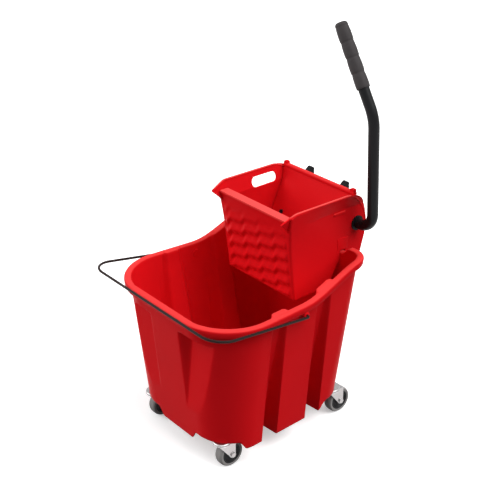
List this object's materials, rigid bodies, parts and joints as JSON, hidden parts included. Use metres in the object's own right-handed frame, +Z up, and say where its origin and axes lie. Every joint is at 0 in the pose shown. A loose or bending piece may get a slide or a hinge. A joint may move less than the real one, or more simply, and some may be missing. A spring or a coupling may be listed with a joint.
{
  "type": "mop bucket with side-press wringer",
  "caption": "Wheeled red mop bucket with a dropped front rim, a wire bail and a lift-off side-press wringer whose long lever slides a leaning press plate along its basket.",
  "frame": {"origin": "on the floor under the middle of the bounding box, between the casters", "axes": "+Z up, -Y towards the tub's low front end, +Y towards the wringer, +X towards the lever side"},
  "size_m": [0.4636, 0.534, 0.9428],
  "materials": {
    "red_plastic": "satin moulded",
    "black_tube": "satin powder coat",
    "grip_rubber": "matt",
    "dark_wire": "satin",
    "zinc_steel": "bright zinc",
    "spring_steel": "plain",
    "black_plastic": "satin moulded",
    "wheel_core": "satin moulded",
    "grey_tread": "matt"
  },
  "bodies": {
    "bucket": {"bucket_tub": "red_plastic", "caster_mount_front_left": "zinc_steel", "caster_mount_front_right": "zinc_steel", "caster_mount_rear_left": "zinc_steel", "caster_mount_rear_right": "zinc_steel"},
    "bail": {"bail_handle": "dark_wire", "bail_caps": "red_plastic"},
    "wringer": {"wringer_basket": "red_plastic", "rear_cover": "red_plastic", "cover_screws": "zinc_steel", "shaft_bush_left": "black_plastic", "shaft_bush_right": "black_plastic", "return_spring_left": "spring_steel", "return_spring_right": "spring_steel"},
    "lever": {"lever_tube": "black_tube", "lever_grip": "grip_rubber", "shaft_retainer": "zinc_steel", "shaft_plug": "black_plastic", "drive_arm_left": "black_plastic", "drive_arm_right": "black_plastic", "arm_pins": "zinc_steel"},
    "press": {"press_plate": "red_plastic", "wear_pad_left": "black_plastic", "wear_pad_right": "black_plastic", "spring_anchors": "zinc_steel"},
    "swivel_front_left": {"caster_fork_front_left": "zinc_steel", "caster_axle_front_left": "zinc_steel"},
    "wheel_front_left": {"wheel_core_front_left": "wheel_core", "wheel_tread_front_left": "grey_tread"},
    "swivel_front_right": {"caster_fork_front_right": "zinc_steel", "caster_axle_front_right": "zinc_steel"},
    "wheel_front_right": {"wheel_core_front_right": "wheel_core", "wheel_tread_front_right": "grey_tread"},
    "swivel_rear_left": {"caster_fork_rear_left": "zinc_steel", "caster_axle_rear_left": "zinc_steel"},
    "wheel_rear_left": {"wheel_core_rear_left": "wheel_core", "wheel_tread_rear_left": "grey_tread"},
    "swivel_rear_right": {"caster_fork_rear_right": "zinc_steel", "caster_axle_rear_right": "zinc_steel"},
    "wheel_rear_right": {"wheel_core_rear_right": "wheel_core", "wheel_tread_rear_right": "grey_tread"}
  },
  "joints": [
    {"name": "bail_swing", "type": "hinge", "parent": "bucket", "child": "bail", "pos_m": [0, 0.006, 0.362], "axis": [-1, 0, 0], "range_deg": [0, 80]},
    {"name": "wringer_lift", "type": "slide", "parent": "bucket", "child": "wringer", "axis": [0, 0, 1], "range_m": [0, 0.12]},
    {"name": "lever_pull", "type": "hinge", "parent": "wringer", "child": "lever", "pos_m": [0, 0.24, 0.482], "axis": [1, 0, 0], "range_deg": [0, 55]},
    {"name": "press_slide", "type": "slide", "parent": "wringer", "child": "press", "axis": [0, -1, 0], "range_m": [0, 0.0519], "stiffness_N_per_m": 800, "springref_m": -0.02, "deforming": ["return_spring_left", "return_spring_right"]},
    {"name": "swivel_turn_front_left", "type": "hinge", "parent": "bucket", "child": "swivel_front_left", "pos_m": [-0.129, -0.171, 0.068], "axis": [0, 0, 1], "continuous": true},
    {"name": "wheel_spin_front_left", "type": "hinge", "parent": "swivel_front_left", "child": "wheel_front_left", "pos_m": [-0.129, -0.151, 0.0325], "axis": [1, 0, 0], "continuous": true},
    {"name": "swivel_turn_front_right", "type": "hinge", "parent": "bucket", "child": "swivel_front_right", "pos_m": [0.129, -0.171, 0.068], "axis": [0, 0, 1], "continuous": true},
    {"name": "wheel_spin_front_right", "type": "hinge", "parent": "swivel_front_right", "child": "wheel_front_right", "pos_m": [0.129, -0.151, 0.0325], "axis": [1, 0, 0], "continuous": true},
    {"name": "swivel_turn_rear_left", "type": "hinge", "parent": "bucket", "child": "swivel_rear_left", "pos_m": [-0.129, 0.165, 0.068], "axis": [0, 0, 1], "continuous": true},
    {"name": "wheel_spin_rear_left", "type": "hinge", "parent": "swivel_rear_left", "child": "wheel_rear_left", "pos_m": [-0.129, 0.185, 0.0325], "axis": [1, 0, 0], "continuous": true},
    {"name": "swivel_turn_rear_right", "type": "hinge", "parent": "bucket", "child": "swivel_rear_right", "pos_m": [0.129, 0.165, 0.068], "axis": [0, 0, 1], "continuous": true},
    {"name": "wheel_spin_rear_right", "type": "hinge", "parent": "swivel_rear_right", "child": "wheel_rear_right", "pos_m": [0.129, 0.185, 0.0325], "axis": [1, 0, 0], "continuous": true}
  ],
  "couplings": [
    {"joint": "press_slide", "follows": "lever_pull", "m_per_rad": 0.054}
  ]
}
